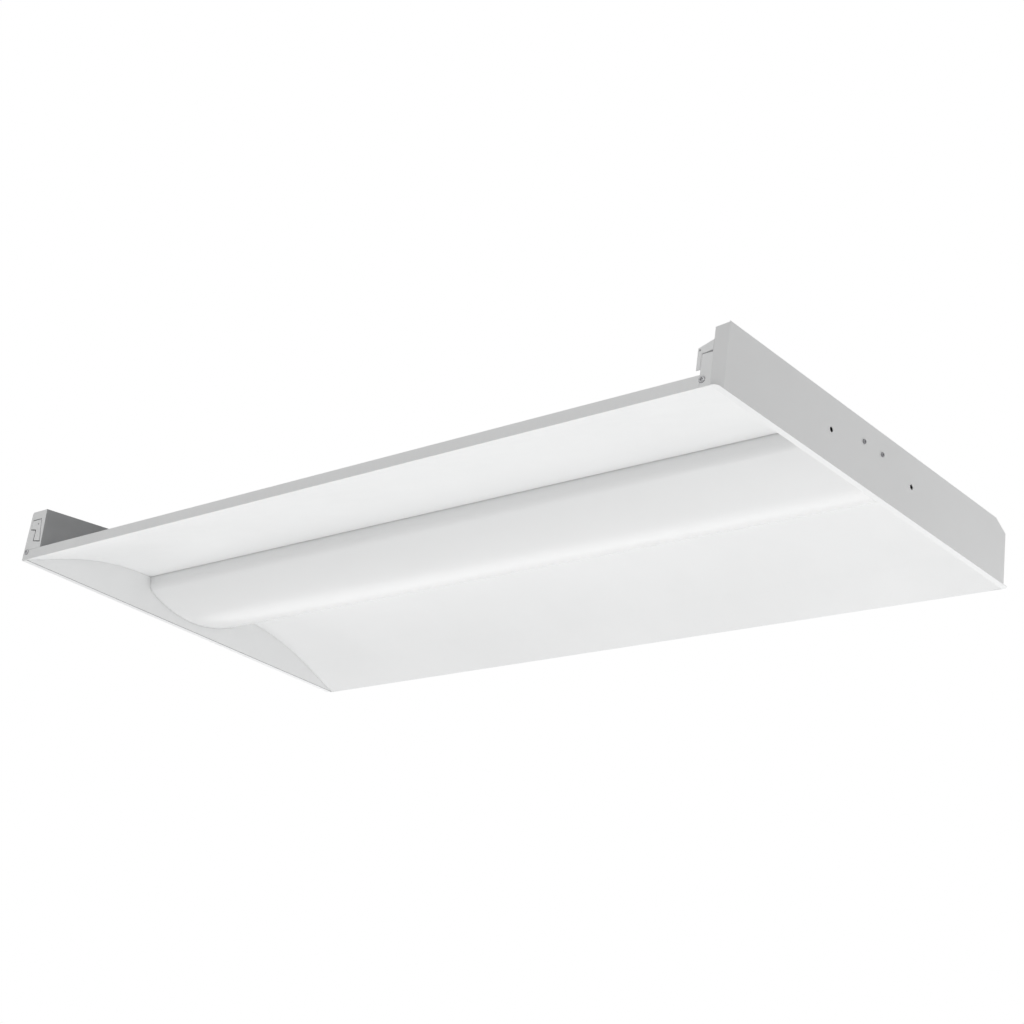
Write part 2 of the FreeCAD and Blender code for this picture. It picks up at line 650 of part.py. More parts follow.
def end_plate(boxed):
    """End plate in the right-hand frame: web, rim band, top flange and two corners."""
    flange_end = FACET_START_Y - CROP_LENGTH
    top_flange = block(
        HALF_LENGTH - TOP_FLANGE, HALF_LENGTH, -flange_end, flange_end, HEIGHT - SHEET, HEIGHT
    )
    near = boxed_corner() if boxed else faceted_corner(-1, False)
    far = faceted_corner(1, not boxed)
    body = joined([plate_web(not boxed), plate_rim(boxed), top_flange] + near + far)
    for place in plate_web_places(PLATE_HOLE_SPACING, PLATE_HOLE_Z):
        start = place - V(SHEET + OVERCUT, 0, 0)
        body = body.cut(cylinder(PLATE_HOLE_RADIUS, start, V(1, 0, 0), SHEET + 2 * OVERCUT))
    for place in plate_web_places(PLATE_SCREW_SPACING, PLATE_SCREW_Z):
        body = body.cut(screw_hole(PLATE_SCREW, place, V(1, 0, 0), HOLE_REACH))
    for side_y in (-1, 1):
        hole_x = HALF_LENGTH - HANGER_HOLE_INSET_X
        hole_y = side_y * (HALF_WIDTH - HANGER_HOLE_INSET_Y)
        start = V(hole_x, hole_y, HEIGHT - SHEET - OVERCUT)
        body = body.cut(cylinder(HANGER_HOLE_RADIUS, start, V(0, 0, 1), SHEET + 2 * OVERCUT))
    if boxed:
        seat = box_screw_seat()
        seat.x = -seat.x
        body = body.cut(screw_hole(CORNER_SCREW, seat, V(0, 1, 0), HOLE_REACH))
    for side_y in (1,) if boxed else (-1, 1):
        seat = corner_screw_seat(1, side_y)
        body = body.cut(screw_hole(CORNER_SCREW, seat, V(0, 1, 0), HOLE_REACH))
    return body


def end_wall(side_x):
    """White inner end wall of the recess, standing on the rim band by its foot."""
    low = SHEET + SEAT
    tangent = curve_point(WING_SLOPE, SHEET)
    shoulder_y = VALLEY_Y + LEDGE_WIDTH
    shoulder_angle = curve_angle(shoulder_y, SHEET)
    middle = curve_point((shoulder_angle + WING_SLOPE) / 2, SHEET)
    shoulder = curve_point(shoulder_angle, SHEET)

    def other(point):
        return (-point[0], point[1])

    toe_z = wing_height(WALL_HALF_WIDTH, SHEET)
    steps = [
        (WALL_HALF_WIDTH, low),
        (WALL_HALF_WIDTH, toe_z),
        tangent,
        (middle, shoulder),
        (shoulder_y, LEDGE_Z),
        (-shoulder_y, LEDGE_Z),
        other(shoulder),
        (other(middle), other(tangent)),
        (-WALL_HALF_WIDTH, toe_z),
    ]
    wall = section_prism((-WALL_HALF_WIDTH, low), steps, WALL_INNER_X, WALL_OUTER_X)
    foot_y = HALF_WIDTH - FOOT_INSET
    foot = block(WALL_INNER_X, HALF_LENGTH - SHEET - EDGE_GAP, -foot_y, foot_y, low, low + SHEET)
    body = joined([wall, foot])
    start = V(WALL_INNER_X - OVERCUT, HINGE_Y, HINGE_Z)
    body = body.cut(cylinder(HINGE_PIN_RADIUS + HINGE_RUN, start, V(1, 0, 0), SHEET + 2 * OVERCUT))
    return body if side_x > 0 else mirrored_x(body)


# ---------------------------------------------------------------- grid clips
def clip_outline():
    """Hook of a faceted corner, as (distance from the fold line, height)."""
    return [
        (EDGE_GAP, CLIP_ROOT_LOW),
        (CLIP_LEG_INNER, CLIP_BAND_INNER_Z),
        (CLIP_LEG_INNER, CLIP_LEG_BOTTOM),
        (CLIP_REACH, CLIP_LEG_BOTTOM),
        (CLIP_REACH, CLIP_ELBOW_Z),
        (EDGE_GAP, CLIP_ROOT_HIGH),
        (EDGE_GAP, CLIP_ROOT_LOW),
    ]


def box_clip_outline():
    """Hook that is cut out of the boxed corner's near face."""
    return [
        (EDGE_GAP, BOX_CLIP_ROOT_LOW),
        (BOX_CLIP_LEG_U, BOX_CLIP_LEG_TOP),
        (BOX_CLIP_LEG_U, BOX_CLIP_LEG_BOTTOM),
        (BOX_CLIP_REACH_BOTTOM, BOX_CLIP_TOE_Z),
        (BOX_CLIP_REACH_TOP, BOX_CLIP_ROOT_HIGH),
        (EDGE_GAP, BOX_CLIP_ROOT_HIGH),
        (EDGE_GAP, BOX_CLIP_ROOT_LOW),
    ]


def grid_clip(side_x, side_y):
    boxed = side_x < 0 and side_y < 0
    if boxed:
        outline = box_clip_outline()
        fold_x = HALF_LENGTH - BOX_CLIP_FOLD
        hole_u = (BOX_CLIP_LEG_U + BOX_CLIP_REACH_TOP) / 2 - CLIP_HOLE_SHIFT
        hole_z = (BOX_CLIP_ROOT_LOW + BOX_CLIP_ROOT_HIGH) / 2
        hole_radius = BOX_CLIP_HOLE_RADIUS
    else:
        outline = clip_outline()
        fold_x = FACET_END_X
        hole_u = (CLIP_LEG_INNER + CLIP_REACH) / 2
        hole_z = (CLIP_BAND_INNER_Z + CLIP_ELBOW_Z) / 2 + CLIP_HOLE_SHIFT
        hole_radius = CLIP_HOLE_RADIUS
    points = [(side_x * (fold_x - u), z) for u, z in outline[:-1]]
    body = side_prism(points, side_y * HALF_WIDTH, side_y * SIDE_INNER_Y)
    centre = V(side_x * (fold_x - hole_u), side_y * (HALF_WIDTH + OVERCUT), hole_z)
    return body.cut(cylinder(hole_radius, centre, V(0, -side_y, 0), SHEET + 2 * OVERCUT))


# ---------------------------------------------------------------- tray and boards
def tray_hole(place, radius):
    """Cutter for a round hole in the tray at the place's x and y."""
    start = V(place.x, place.y, TRAY_BOTTOM - OVERCUT)
    return cylinder(radius, start, V(0, 0, 1), SHEET + 2 * OVERCUT)


def led_tray():
    body = block(-TRAY_END_X, TRAY_END_X, -TRAY_HALF_WIDTH, TRAY_HALF_WIDTH, TRAY_BOTTOM, TRAY_TOP)
    for place in ledge_screw_places(-1) + ledge_screw_places(1):
        body = body.cut(tray_hole(place, SMALL_SCREW[2] + SCREW_GAP))
    for place in board_screw_places() + [ground_screw_place()] + catch_rivet_places():
        body = body.cut(tray_hole(place, BOARD_SCREW[2] + SCREW_GAP))
    for place in standoff_places(TRAY_BOTTOM):
        body = body.cut(tray_hole(place, STANDOFF_SHANK_RADIUS + HINGE_RUN))
    return body.cut(tray_hole(V(GROMMET_X, GROMMET_Y, 0), GROMMET_HOLE_RADIUS))


def tray_brackets():
    """Angle brackets spot-welded under the tray's ends, which the end plates' screws hold."""
    high = TRAY_BOTTOM - SEAT
    low_y = PLATE_CENTRE_Y - BRACKET_WIDTH / 2
    high_y = PLATE_CENTRE_Y + BRACKET_WIDTH / 2
    leg = block(TRAY_END_X - SHEET, TRAY_END_X, low_y, high_y, high - BRACKET_DEPTH, high)
    foot = block(WALL_OUTER_X + EDGE_GAP, TRAY_END_X, low_y, high_y, high - SHEET, high)
    right = joined([leg, foot])
    for place in plate_web_places(PLATE_SCREW_SPACING, PLATE_SCREW_Z):
        right = right.cut(screw_hole(PLATE_SCREW, place, V(1, 0, 0), HOLE_REACH))
    return [right, mirrored_x(right)]


def standoff_places(z):
    reaches = (STANDOFF_INNER_X, HALF_LENGTH - STANDOFF_END_INSET)
    corners = [(side_x, side_y) for side_x in (-1, 1) for side_y in (-1, 1)]
    return [V(side_x * x, side_y * STANDOFF_Y, z) for x in reaches for side_x, side_y in corners]


def housing_standoffs():
    """Hexagonal spacers clinched in the tray, which carry the top of the housing."""
    low = TRAY_TOP + SEAT
    high = HOUSING_UNDER - SEAT
    corner = STANDOFF_RADIUS / math.cos(math.pi / 6)
    solids = []
    for place in standoff_places(low):
        ring = []
        for k in range(6):
            turn = math.pi / 3 * k
            ring.append(place + V(corner * math.cos(turn), corner * math.sin(turn), 0))
        spacer = polygon_prism(ring, V(0, 0, high - low))
        shank = cylinder(STANDOFF_SHANK_RADIUS, place - V(0, 0, SHEET + SEAT), V(0, 0, 1), SHEET + SEAT)
        bore_start = place + V(0, 0, high - low - STANDOFF_BORE)
        bore = cylinder(SMALL_SCREW[2] + HINGE_RUN, bore_start, V(0, 0, 1), STANDOFF_BORE + OVERCUT)
        solids.append(spacer.fuse(shank).removeSplitter().cut(bore))
    return solids


def board_middle(side_x):
    return side_x * (BOARD_INNER_X + BOARD_LENGTH / 2)


def board_screw_places():
    """Seats of the board screws, under the boards' lower faces."""
    places = []
    for side_x in (-1, 1):
        for side_y in (-1, 1):
            for k in range(BOARD_SCREWS):
                share = (k + 0.5) / BOARD_SCREWS - 0.5
                x = board_middle(side_x) + share * BOARD_LENGTH
                places.append(V(x, side_y * ROW_Y + BOARD_SCREW_SHIFT, BOARD_UNDER - SEAT))
    return places


def led_board(side_x, side_y):
    inner = side_x * BOARD_INNER_X
    outer = side_x * BOARD_OUTER_X
    low_y = side_y * ROW_Y - BOARD_WIDTH / 2
    body = block(inner, outer, low_y, low_y + BOARD_WIDTH, BOARD_UNDER, BOARD_TOP)
    for place in board_screw_places():
        body = body.cut(screw_hole(BOARD_SCREW, place, V(0, 0, 1), HOLE_REACH))
    return body


def led_packages(side_x, side_y):
    pitch = BOARD_LENGTH / LEDS_PER_BOARD
    solids = []
    for k in range(LEDS_PER_BOARD):
        x = side_x * (BOARD_INNER_X + pitch * (k + 0.5))
        y = side_y * ROW_Y - LED_SHIFT
        solids.append(block(
            x - LED_LENGTH / 2, x + LED_LENGTH / 2, y - LED_WIDTH / 2, y + LED_WIDTH / 2,
            BOARD_UNDER - LED_THICKNESS, BOARD_UNDER,
        ))
    return solids


def board_connectors():
    """Feed connector of the far row, jumper connectors of both rows and the links between boards."""
    length, width, height = CONNECTOR_BLOCK
    solids = []
    edge_y = ROW_Y + BOARD_WIDTH / 2
    solids.append(block(
        GROMMET_X - length / 2, GROMMET_X + length / 2, edge_y - width, edge_y,
        BOARD_UNDER - height, BOARD_UNDER,
    ))
    for side_y in (-1, 1):
        x = -BOARD_OUTER_X + JUMPER_INSET
        inner_y = side_y * (ROW_Y - BOARD_WIDTH / 2)
        solids.append(block(
            x - length / 2, x + length / 2, inner_y, inner_y + side_y * width,
            BOARD_UNDER - height, BOARD_UNDER,
        ))
        link_y = side_y * ROW_Y + BOARD_SCREW_SHIFT
        solids.append(block(
            -LINK_LENGTH / 2, LINK_LENGTH / 2, link_y - width / 2, link_y + width / 2,
            BOARD_UNDER - height / 2, BOARD_UNDER,
        ))
    return solids


def grommet():
    """Rubber ring in the tray's wire hole, with a lip above and below the sheet."""
    lip = GROMMET_HOLE_RADIUS + GROMMET_LIP
    low = TRAY_BOTTOM - SEAT - GROMMET_LIP_THICKNESS
    high = TRAY_TOP + SEAT + GROMMET_LIP_THICKNESS
    centre = V(GROMMET_X, GROMMET_Y, low)
    body = cylinder(lip, centre, V(0, 0, 1), high - low)
    groove_start = V(GROMMET_X, GROMMET_Y, TRAY_BOTTOM - SEAT)
    groove = cylinder(lip + OVERCUT, groove_start, V(0, 0, 1), SHEET + 2 * SEAT)
    groove = groove.cut(cylinder(GROMMET_HOLE_RADIUS - SEAT, centre, V(0, 0, 1), high - low))
    return body.cut(groove).cut(cylinder(GROMMET_BORE_RADIUS, centre, V(0, 0, 1), high - low))


# ---------------------------------------------------------------- housing and access cover
def back_housing():
    """Top-hat channel over the middle, whose flanges follow the backs of the wings."""
    inner = SHEET + SEAT
    outer = inner + SHEET
    foot_angle = curve_angle(HOUSING_FOOT_Y, inner)
    end_angle = curve_angle(HOUSING_EDGE_Y, inner)
    lean = math.atan2(HOUSING_FOOT_Y - HOUSING_HALF_TOP, HOUSING_TOP - curve_point(foot_angle, outer)[1])
    side_shift = SHEET / math.cos(lean)

    def flip(point):
        return (-point[0], point[1])

    foot_in = curve_point(foot_angle, inner)
    end_in = curve_point(end_angle, inner)
    end_out = curve_point(end_angle, outer)
    foot_out = curve_point(foot_angle, outer)
    mid_in = curve_point((foot_angle + end_angle) / 2, inner)
    mid_out = curve_point((foot_angle + end_angle) / 2, outer)
    top_out = (HOUSING_HALF_TOP, HOUSING_TOP)
    top_in = (HOUSING_HALF_TOP - side_shift + SHEET * math.tan(lean), HOUSING_UNDER)
    side_in_y = foot_in[0] - side_shift
    side_in = (side_in_y, wing_height(side_in_y, inner))
    steps = [
        foot_out, (mid_out, end_out), end_in, (mid_in, foot_in), side_in, top_in,
        flip(top_in), flip(side_in), flip(foot_in), (flip(mid_in), flip(end_in)), flip(end_out),
        (flip(mid_out), flip(foot_out)), flip(top_out),
    ]
    body = section_prism(top_out, steps, -HOUSING_END_X, HOUSING_END_X)
    half_l = ACCESS_LENGTH / 2
    half_w = ACCESS_WIDTH / 2
    low = HOUSING_UNDER - OVERCUT
    body = body.cut(block(ACCESS_X - half_l, ACCESS_X + half_l, -half_w, half_w, low, COVER_Z))
    for place in driver_screw_places() + standoff_places(HOUSING_TOP + SEAT):
        body = body.cut(screw_hole(SMALL_SCREW, place, V(0, 0, 1), HOLE_REACH))
    for x, y in ((PIVOT_X, PIVOT_Y), (LOCK_X, LOCK_Y)):
        body = body.cut(screw_hole(COVER_SCREW, V(x, y, COVER_Z), V(0, 0, 1), HOLE_REACH))
    return body


def lock_slot():
    """Slot that lets the swinging cover leave its lock screw, along the swing's tangent."""
    half = COVER_SCREW[2] + SCREW_GAP
    arm = V(LOCK_X - PIVOT_X, LOCK_Y - PIVOT_Y, 0)
    way = V(arm.y, -arm.x, 0).normalize()
    across = V(way.y, -way.x, 0) * half
    reach = way * LOCK_SLOT_LENGTH
    lock = V(LOCK_X, LOCK_Y, COVER_Z - OVERCUT)
    depth = SHEET + 2 * OVERCUT
    corners = [lock + across, lock + reach + across, lock + reach - across, lock - across]
    round_end = cylinder(half, lock, V(0, 0, 1), depth)
    return round_end.fuse(polygon_prism(corners, V(0, 0, depth)))


def knockout_centre(side):
    return V(ACCESS_X + side * KNOCKOUT_SPACING / 2, 0, COVER_Z)


def access_cover():
    half_l = COVER_LENGTH / 2
    half_w = COVER_WIDTH / 2
    body = block(ACCESS_X - half_l, ACCESS_X + half_l, -half_w, half_w, COVER_Z, COVER_TOP)
    corners = [edge for edge in body.Edges if edge.BoundBox.ZLength > SHEET / 2]
    body = body.makeFillet(COVER_CORNER_RADIUS, corners)
    depth = SHEET + 2 * OVERCUT
    pivot = V(PIVOT_X, PIVOT_Y, COVER_Z - OVERCUT)
    body = body.cut(cylinder(COVER_SCREW[2] + HINGE_RUN, pivot, V(0, 0, 1), depth))
    body = body.cut(lock_slot())
    for side in (-1, 1):
        start = knockout_centre(side) - V(0, 0, OVERCUT)
        body = body.cut(cylinder(KNOCKOUT_RADIUS, start, V(0, 0, 1), depth))
    return body


def knockout_slug():
    """Disc still held in one of the cover's knockouts by two small bridges."""
    centre = knockout_centre(1)
    disc = cylinder(KNOCKOUT_RADIUS - SLUG_GAP, centre, V(0, 0, 1), SHEET)
    reach = KNOCKOUT_RADIUS
    bridge = block(-reach, reach, -SLUG_BRIDGE / 2, SLUG_BRIDGE / 2, 0, SHEET)
    bridge.translate(centre)
    bridge = bridge.common(cylinder(KNOCKOUT_RADIUS, centre, V(0, 0, 1), SHEET))
    return disc.fuse(bridge).removeSplitter()


# ---------------------------------------------------------------- diffuser
def corner_centre():
    """Centre of the lens's far corner: inside its side line and tangent to its bottom curve."""
    top = V(0, LENS_HALF_TOP, LENS_TOP)
    down = V(0, -math.sin(LEAN), -math.cos(LEAN))
    inward = V(0, -math.cos(LEAN), math.sin(LEAN))
    start = top + inward * LENS_CORNER_RADIUS - V(0, 0, LENS_CURVE_Z)
    reach = LENS_RADIUS - LENS_CORNER_RADIUS
    b = start.dot(down)
    c = start.dot(start) - reach ** 2
    along = -b + math.sqrt(b * b - c)
    return start + down * along + V(0, 0, LENS_CURVE_Z)


def lens_half(offset):
    """Far half of the lens surface, offset inwards: bottom end, corner middle, corner end, side top."""
    centre = corner_centre()
    radius = LENS_CORNER_RADIUS - offset
    tilt = math.atan2(centre.y, LENS_CURVE_Z - centre.z)

    def on_corner(angle):
        return (centre.y + radius * math.sin(angle), centre.z - radius * math.cos(angle))

    side_angle = math.pi / 2 - LEAN
    return on_corner(tilt), on_corner((tilt + side_angle) / 2), on_corner(side_angle)


def flipped(point):
    return (-point[0], point[1])


def side_y_at(z, offset):
    """Y of the lens's far side line at height z, offset inwards."""
    return LENS_HALF_TOP - (LENS_TOP - z) * math.tan(LEAN) - offset / math.cos(LEAN)


def lens_body():
    bottom, corner, side = lens_half(0)
    bottom_in, corner_in, side_in = lens_half(LENS_THICKNESS)
    lip_low = LENS_TOP - LENS_THICKNESS
    inner_bottom = LENS_BOTTOM_Z + LENS_THICKNESS
    tip = LENS_HALF_TOP - LENS_LIP
    lip_root = (side_y_at(lip_low, LENS_THICKNESS), lip_low)
    steps = [
        side, (corner, bottom), ((0.0, LENS_BOTTOM_Z), flipped(bottom)), (flipped(corner), flipped(side)),
        (-LENS_HALF_TOP, LENS_TOP), (-tip, LENS_TOP), (-tip, lip_low), flipped(lip_root), flipped(side_in),
        (flipped(corner_in), flipped(bottom_in)), ((0.0, inner_bottom), bottom_in), (corner_in, side_in),
        lip_root, (tip, lip_low), (tip, LENS_TOP),
    ]
    return section_prism((LENS_HALF_TOP, LENS_TOP), steps, -LENS_END_X, LENS_END_X)


def lens_end_cap(side_x):
    """Plate that closes the lens's end, inside its section, and carries a hinge pin."""
    bottom, corner, side = lens_half(LENS_THICKNESS + CAP_GAP)
    top_z = LENS_TOP - CAP_TOP_GAP
    top = (side_y_at(top_z, LENS_THICKNESS + CAP_GAP), top_z)
    low = LENS_BOTTOM_Z + LENS_THICKNESS + CAP_GAP
    steps = [
        side, (corner, bottom), ((0.0, low), flipped(bottom)), (flipped(corner), flipped(side)),
        flipped(top),
    ]
    cap = section_prism(top, steps, LENS_END_X - CAP_THICKNESS, LENS_END_X)
    start = V(LENS_END_X - CAP_THICKNESS - OVERCUT, HINGE_Y, HINGE_Z)
    cap = cap.cut(cylinder(HINGE_PIN_RADIUS, start, V(1, 0, 0), CAP_THICKNESS + 2 * OVERCUT))
    return cap if side_x > 0 else mirrored_x(cap)


def hinge_pins():
    """Steel pins pressed through the end caps, turning in the inner end walls."""
    inner = LENS_END_X - CAP_THICKNESS - SEAT - HINGE_HEAD_LENGTH
    start = V(inner, HINGE_Y, HINGE_Z)
    pin = cylinder(HINGE_PIN_RADIUS, start, V(1, 0, 0), WALL_OUTER_X + SHEET - inner)
    head = cylinder(HINGE_HEAD_RADIUS, start, V(1, 0, 0), HINGE_HEAD_LENGTH)
    right = pin.fuse(head).removeSplitter()
    return [right, mirrored_x(right)]


def catch_rivet_places():
    y = -(LENS_HALF_TOP - LENS_LIP) + CATCH_GAP + CATCH_THICKNESS + CATCH_FOOT / 2
    return [V(side_x * CATCH_X, y, TRAY_BOTTOM) for side_x in (-1, 1)]


def diffuser_catch(side_x):
    """Leaf spring under the tray that presses against the near lip of the lens."""
    face_y = -(LENS_HALF_TOP - LENS_LIP) + CATCH_GAP
    high = TRAY_BOTTOM - SEAT
    low = high - CATCH_DEPTH
    thick = CATCH_THICKNESS
    start = (face_y, high)
    steps = [
        (face_y + thick + CATCH_FOOT, high),
        (face_y + thick + CATCH_FOOT, high - thick),
        (face_y + thick, high - thick),
        (face_y + thick, low + CATCH_TURN),
        (face_y + CATCH_TURN + thick, low),
        (face_y + CATCH_TURN, low - thick / 2),
        (face_y, low + CATCH_TURN - thick / 2),
    ]
    half = CATCH_WIDTH / 2
    body = section_prism(start, steps, side_x * CATCH_X - half, side_x * CATCH_X + half)
    place = catch_rivet_places()[0 if side_x < 0 else 1]
    start = V(place.x, place.y, high - thick - OVERCUT)
    return body.cut(cylinder(BOARD_SCREW[2] + SEAT, start, V(0, 0, 1), thick + 2 * OVERCUT))


def catch_rivets():
    """Rivets that hold the catches under the tray, headed on both sides."""
    solids = []
    for place in catch_rivet_places():
        low = TRAY_BOTTOM - SEAT - CATCH_THICKNESS - SEAT
        high = TRAY_TOP + SEAT
        shank = cylinder(BOARD_SCREW[2], V(place.x, place.y, low), V(0, 0, 1), high - low)
        below = cylinder(BOARD_SCREW[0], V(place.x, place.y, low - SHEET), V(0, 0, 1), SHEET)
        above = cylinder(BOARD_SCREW[0], V(place.x, place.y, high), V(0, 0, 1), SHEET)
        solids.append(joined([shank, below, above]))
    return solids


# ---------------------------------------------------------------- driver
def driver_screw_places():
    reach = DRIVER_LENGTH / 2 + DRIVER_TAB / 2
    return [V(DRIVER_X + side * reach, DRIVER_Y, HOUSING_TOP + SEAT) for side in (-1, 1)]


def driver_base():
    half = DRIVER_LENGTH / 2 + DRIVER_TAB
    half_w = DRIVER_WIDTH / 2
    body = block(
        DRIVER_X - half, DRIVER_X + half, DRIVER_Y - half_w, DRIVER_Y + half_w,
        DRIVER_TOP - SHEET, DRIVER_TOP,
    )
    for place in driver_screw_places():
        body = body.cut(screw_hole(SMALL_SCREW, place, V(0, 0, 1), HOLE_REACH))
    return body


def driver_box(inset):
    """Solid of the driver's outer shape, taken in by inset on every side but the top."""
    half = DRIVER_LENGTH / 2 - inset
    half_w = DRIVER_WIDTH / 2 - inset
    return block(
        DRIVER_X - half, DRIVER_X + half, DRIVER_Y - half_w, DRIVER_Y + half_w,
        DRIVER_BOTTOM + inset, DRIVER_CASE_TOP,
    )


def terminal_room():
    """Windows in the case's ends for the terminal blocks."""
    half = DRIVER_LENGTH / 2 + OVERCUT
    half_w = TERMINAL_WIDTH / 2 + EDGE_GAP
    low = DRIVER_BOARD_TOP - BOARD_THICKNESS - TERMINAL_HEIGHT - EDGE_GAP
    high = DRIVER_BOARD_TOP - BOARD_THICKNESS + EDGE_GAP
    return block(DRIVER_X - half, DRIVER_X + half, DRIVER_Y - half_w, DRIVER_Y + half_w, low, high)


def driver_case():
    return driver_box(0).cut(driver_box(SHEET).fuse(terminal_room()))


def driver_board():
    half = DRIVER_LENGTH / 2 - 2 * SHEET
    half_w = DRIVER_WIDTH / 2 - 2 * SHEET
    return block(
        DRIVER_X - half, DRIVER_X + half, DRIVER_Y - half_w, DRIVER_Y + half_w,
        DRIVER_BOARD_TOP - BOARD_THICKNESS, DRIVER_BOARD_TOP,
    )


def driver_standoffs():
    solids = []
    for side_x in (-1, 1):
        for side_y in (-1, 1):
            x = DRIVER_X + side_x * (DRIVER_LENGTH / 2 - STANDOFF_INSET_X)
            y = DRIVER_Y + side_y * (DRIVER_WIDTH / 2 - STANDOFF_INSET_Y)
            reach = DRIVER_TOP - SHEET - DRIVER_BOARD_TOP
            solids.append(cylinder(DRIVER_STANDOFF_RADIUS, V(x, y, DRIVER_BOARD_TOP), V(0, 0, 1), reach))
    return solids


def driver_components():
    """Transformer, choke and two capacitors under the circuit board."""
    under = DRIVER_BOARD_TOP - BOARD_THICKNESS
    low = DRIVER_BOTTOM + SHEET + COMPONENT_GAP
    solids = []
    for x, (length, width) in ((DRIVER_X, TRANSFORMER), (DRIVER_X + CHOKE_X, CHOKE)):
        solids.append(block(
            x - length / 2, x + length / 2, DRIVER_Y - width / 2, DRIVER_Y + width / 2, low, under,
        ))
    for x in CAPACITOR_PLACES:
        solids.append(cylinder(CAPACITOR_RADIUS, V(DRIVER_X + x, DRIVER_Y, low), V(0, 0, 1), under - low))
    return solids


def port_ys():
    return [DRIVER_Y + side * PORT_SPACING / 2 for side in (-1, 1)]


def terminal_block(side):
    """Terminal block in one end of the driver, with a push-in port for each wire."""
    face = DRIVER_X + side * (DRIVER_LENGTH / 2 + TERMINAL_REACH)
    under = DRIVER_BOARD_TOP - BOARD_THICKNESS
    half_w = TERMINAL_WIDTH / 2
    body = block(
        face, face - side * TERMINAL_LENGTH, DRIVER_Y - half_w, DRIVER_Y + half_w,
        under - TERMINAL_HEIGHT, under,
    )
    for y in port_ys():
        start = V(face + side * OVERCUT, y, PORT_Z)
        body = body.cut(cylinder(PORT_RADIUS, start, V(-side, 0, 0), PORT_DEPTH + OVERCUT))
    return body


# ---------------------------------------------------------------- quick disconnect and ground
def connector_body(x0, x1, height):
    half = CONNECTOR_WIDTH / 2
    return block(x0, x1, CONNECTOR_Y - half, CONNECTOR_Y + half, CONNECTOR_Z, CONNECTOR_Z + height)


def tongue(gap):
    """The plug's tongue, smaller by gap all round than the room for it in the socket."""
    half = CONNECTOR_WIDTH / 2 - CONNECTOR_WALL - gap
    low = CONNECTOR_Z + CONNECTOR_WALL + gap
    high = CONNECTOR_Z + CONNECTOR_HEIGHT - CONNECTOR_WALL - gap
    root = SOCKET_X - PLUG_GAP - OVERCUT
    tip = SOCKET_X + PLUG_TONGUE + PLUG_GAP - gap
    return block(root, tip, CONNECTOR_Y - half, CONNECTOR_Y + half, low, high)


def port_places(x):
    """Middles of the three wire ports in the face of a connector half at x."""
    z = CONNECTOR_Z + CONNECTOR_HEIGHT / 2
    return [V(x, CONNECTOR_Y + k * PORT_SPACING, z) for k in (-1, 0, 1)]


def socket_ports():
    return port_places(SOCKET_X + CONNECTOR_LENGTH)


def disconnect_socket():
    body = connector_body(SOCKET_X, SOCKET_X + CONNECTOR_LENGTH, CONNECTOR_HEIGHT).cut(tongue(0))
    for port in socket_ports():
        start = port + V(OVERCUT, 0, 0)
        body = body.cut(cylinder(PORT_RADIUS, start, V(-1, 0, 0), PORT_DEPTH + OVERCUT))
    return body


def disconnect_plug():
    mouth = SOCKET_X - PLUG_GAP
    back = mouth - PLUG_LENGTH
    body = joined([connector_body(back, mouth, CONNECTOR_HEIGHT), tongue(PLUG_GAP)])
    for port in port_places(back):
        start = port - V(OVERCUT, 0, 0)
        body = body.cut(cylinder(PORT_RADIUS, start, V(1, 0, 0), PORT_DEPTH + OVERCUT))
    return body


def ground_screw_place():
    return V(SOCKET_X + CONNECTOR_LENGTH + GROUND_AWAY_X, CONNECTOR_Y - GROUND_AWAY_Y,
             TRAY_TOP + LUG_THICKNESS + 2 * SEAT)


def ground_lug():
    """Ring lug under the ground screw, with the barrel that grips the ground wire."""
    place = ground_screw_place()
    seat = TRAY_TOP + SEAT
    half = LUG_BARREL_RADIUS
    ring = cylinder(LUG_RADIUS, V(place.x, place.y, seat), V(0, 0, 1), LUG_THICKNESS)
    neck = block(place.x - LUG_LENGTH, place.x, place.y - half, place.y + half, seat, seat + LUG_THICKNESS)
    barrel_start = V(place.x - LUG_LENGTH, place.y, seat + LUG_BARREL_RADIUS)
    barrel = cylinder(LUG_BARREL_RADIUS, barrel_start, V(1, 0, 0), LUG_BARREL_LENGTH)
    body = joined([ring, neck, barrel])
    return body.cut(screw_hole(BOARD_SCREW, place, V(0, 0, 1), 2 * LUG_THICKNESS))


# ---------------------------------------------------------------- wires
def supply_wire(index):
    """Wire from one of the socket's ports to the driver's input terminal."""
    start = socket_ports()[index + 1] - V(PORT_DEPTH - SEAT, 0, 0)
    end = V(DRIVER_X - DRIVER_LENGTH / 2 - TERMINAL_REACH + PORT_DEPTH - SEAT, port_ys()[index], PORT_Z)
    turn_x = (start.x + end.x) / 2 - index * WIRE_SPACING
    points = [start, V(turn_x, start.y, start.z), V(turn_x, end.y, end.z), end]
    return tube(points, WIRE_RADIUS)


def led_lead(index):
    """Lead from the driver's output, over the tray, through the grommet, to the feed connector."""
    start = V(DRIVER_X + DRIVER_LENGTH / 2 + TERMINAL_REACH - PORT_DEPTH + SEAT, port_ys()[index], PORT_Z)
    x = GROMMET_X + (index - 0.5) * LEAD_SPACING
    down = BOARD_UNDER - CONNECTOR_BLOCK[2] / 2
    points = [
        start,
        V(x, start.y, PORT_Z),
        V(x, GROMMET_Y, PORT_Z),
        V(x, GROMMET_Y, down),
        V(x, ROW_Y + BOARD_WIDTH / 2 + SEAT, down),
    ]
    return tube(points, LEAD_RADIUS)


